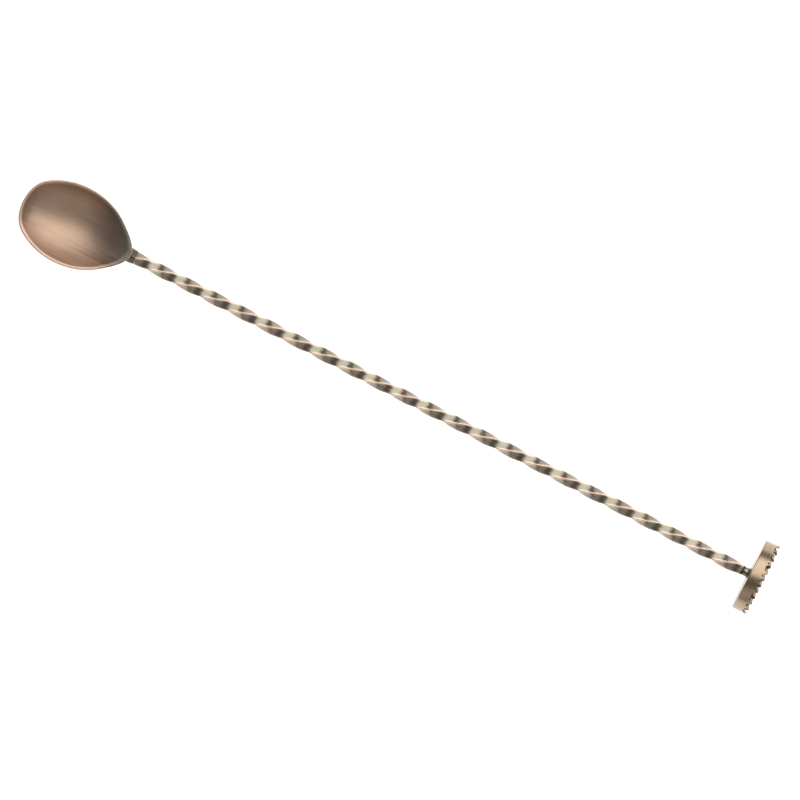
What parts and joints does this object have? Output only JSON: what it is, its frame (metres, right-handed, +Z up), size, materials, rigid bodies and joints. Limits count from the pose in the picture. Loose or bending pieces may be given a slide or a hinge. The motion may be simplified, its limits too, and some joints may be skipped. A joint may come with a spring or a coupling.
{
  "type": "bar spoon",
  "caption": "Long bar spoon with an oval bowl, a twisted square stem and a toothed round masher disc on the other end.",
  "frame": {"origin": "on the surface that the spoon lies on, below the centre of its outline", "axes": "+X runs along the spoon from the bowl towards the masher disc, +Z is up, out of the open bowl, and +Y is to the left of +X; the stem rises 1.37 degrees towards the disc because the spoon rests on the belly of its bowl and on the edge of the disc"},
  "size_m": [0.2802, 0.0278, 0.0256],
  "materials": {
    "brushed_copper": "antique copper plate on stainless steel, darkened, brushed lengthwise and relieved bright along the rim",
    "twisted_copper": "antique copper plate on stainless steel, dark on the flats and rubbed bright along the twisted edges",
    "toothed_copper": "antique copper plate on stainless steel, turned rim, dark in the grooves between the teeth",
    "braze": "braze filler under the same plate, darkened"
  },
  "bodies": {
    "root": {"bowl": "brushed_copper", "twisted_stem": "twisted_copper", "masher_disc": "toothed_copper", "bowl_braze": "braze", "disc_braze": "braze"}
  },
  "joints": []
}
